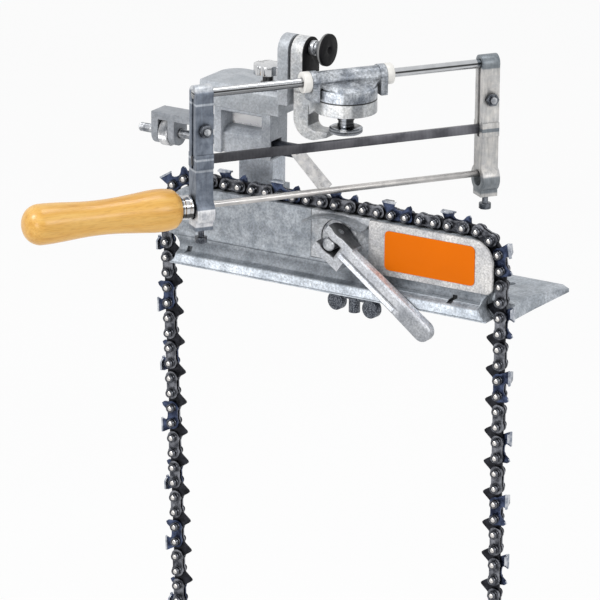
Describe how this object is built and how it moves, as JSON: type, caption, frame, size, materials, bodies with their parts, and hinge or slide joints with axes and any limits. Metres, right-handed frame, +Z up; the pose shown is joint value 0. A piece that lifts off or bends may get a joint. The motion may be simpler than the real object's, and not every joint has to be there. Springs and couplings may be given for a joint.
{
  "type": "saw chain filing guide",
  "caption": "Bench-mounted filing guide with a sliding file frame, cam clamp, chain stop and swivelling head over a rail that holds a loop of saw chain.",
  "frame": {"origin": "midpoint of the two bench bolts, on the face that sits on the bench", "axes": "+X along the rail towards the end with the orange plate, +Y away from the user, +Z up from the bench"},
  "size_m": [0.2656, 0.252, 0.5223],
  "materials": {
    "cast_aluminium": "satin cast, lightly machined faces",
    "machined_aluminium": "fine turned satin",
    "plated_steel": "bright zinc plated",
    "polished_steel": "polished",
    "file_steel": "cut teeth, grey",
    "chain_steel": "dark blued",
    "cutter_steel": "dark hard chrome",
    "black_plastic": "satin",
    "white_nylon": "satin white",
    "orange_label": "plain orange gloss",
    "handle_wood": "clear varnish"
  },
  "bodies": {
    "base": {"base_casting": "cast_aluminium", "guide_plate": "machined_aluminium", "label_plate": "orange_label", "guide_plate_screws": "plated_steel", "clamp_bolt": "plated_steel", "clamp_nut": "plated_steel", "clamp_nut_washer": "plated_steel", "lever_pin": "plated_steel", "column_casting": "cast_aluminium", "column_bolts": "plated_steel", "chain_drive_links": "chain_steel", "chain_tie_straps": "chain_steel", "chain_cutters_near": "cutter_steel", "chain_cutters_far": "cutter_steel", "chain_rivets": "chain_steel"},
    "jaw": {"clamp_jaw": "cast_aluminium", "cam_washer": "plated_steel"},
    "lever": {"clamp_lever": "machined_aluminium"},
    "wing": {"wing_screw": "plated_steel"},
    "stop_slide": {"stop_tongue": "plated_steel", "adjusting_screw": "plated_steel", "pawl_pin": "plated_steel"},
    "stop_wheel": {"adjusting_wheel": "plated_steel"},
    "pawl": {"stop_pawl": "plated_steel"},
    "block": {"top_block": "cast_aluminium", "tilt_bolt": "plated_steel"},
    "star": {"star_knob": "polished_steel", "star_knob_washer": "plated_steel"},
    "arm": {"swing_arm": "cast_aluminium", "friction_plate": "black_plastic"},
    "tilt_handwheel": {"tilt_knob_hub": "polished_steel", "tilt_knob": "black_plastic"},
    "swivel": {"swivel_head": "machined_aluminium", "swivel_spindle": "plated_steel"},
    "swivel_handwheel": {"swivel_nut": "polished_steel"},
    "bushes": {"left_bush": "white_nylon", "right_bush": "white_nylon"},
    "file_frame": {"guide_rod": "polished_steel", "left_frame_arm": "plated_steel", "right_frame_arm": "plated_steel", "frame_bolts": "plated_steel", "frame_nuts": "plated_steel", "file_screws": "plated_steel", "flat_file": "file_steel", "round_file": "file_steel", "ferrule": "polished_steel", "handle": "handle_wood"}
  },
  "joints": [
    {"name": "lever_hinge", "type": "hinge", "parent": "base", "child": "lever", "pos_m": [-0.0096, -0.0541, 0.0336], "axis": [-0.5948, 0, -0.8039], "range_deg": [0, 90]},
    {"name": "jaw_slide", "type": "slide", "parent": "base", "child": "jaw", "axis": [0, -1, 0], "range_m": [0, 0.0006]},
    {"name": "wing_turn", "type": "hinge", "parent": "base", "child": "wing", "pos_m": [-0.0023, -0.0407, -0.0068], "axis": [0, 0, 1], "continuous": true},
    {"name": "wheel_turn", "type": "hinge", "parent": "base", "child": "stop_wheel", "pos_m": [-0.1321, -0.0407, 0.0788], "axis": [1, 0, 0], "range_deg": [-1800, 0]},
    {"name": "stop_slide", "type": "slide", "parent": "base", "child": "stop_slide", "axis": [1, 0, 0], "range_m": [-0.005, 0]},
    {"name": "pawl_hinge", "type": "hinge", "parent": "stop_slide", "child": "pawl", "pos_m": [-0.0426, -0.0407, 0.0799], "axis": [0, -1, 0], "range_deg": [0, 33]},
    {"name": "block_slide", "type": "slide", "parent": "base", "child": "block", "axis": [0, 1, 0], "range_m": [-0.004, 0.004]},
    {"name": "star_turn", "type": "hinge", "parent": "base", "child": "star", "pos_m": [-0.0633, -0.0407, 0.129], "axis": [0, 0, 1], "continuous": true},
    {"name": "tilt_hinge", "type": "hinge", "parent": "block", "child": "arm", "pos_m": [-0.0383, -0.0407, 0.1451], "axis": [-1, 0, 0], "range_deg": [-3, 15]},
    {"name": "tilt_handwheel_turn", "type": "hinge", "parent": "block", "child": "tilt_handwheel", "pos_m": [-0.0263, -0.0407, 0.1451], "axis": [1, 0, 0], "continuous": true},
    {"name": "swivel_hinge", "type": "hinge", "parent": "arm", "child": "swivel", "pos_m": [-0.0098, -0.0407, 0.1187], "axis": [0, 0, 1], "range_deg": [-15, 80]},
    {"name": "swivel_handwheel_turn", "type": "hinge", "parent": "arm", "child": "swivel_handwheel", "pos_m": [-0.0098, -0.0407, 0.0992], "axis": [0, 0, 1], "continuous": true},
    {"name": "frame_lift", "type": "hinge", "parent": "swivel", "child": "bushes", "pos_m": [-0.0098, -0.0407, 0.1303], "axis": [-0.5736, -0.8192, 0], "range_deg": [0, 110]},
    {"name": "file_stroke", "type": "slide", "parent": "bushes", "child": "file_frame", "axis": [0.5736, 0.8192, 0], "range_m": [-0.054, 0.055]}
  ],
  "couplings": [
    {"joint": "lever_hinge", "follows": "jaw_slide", "rad_per_m": 2618},
    {"joint": "wheel_turn", "follows": "stop_slide", "rad_per_m": 6283.2}
  ]
}
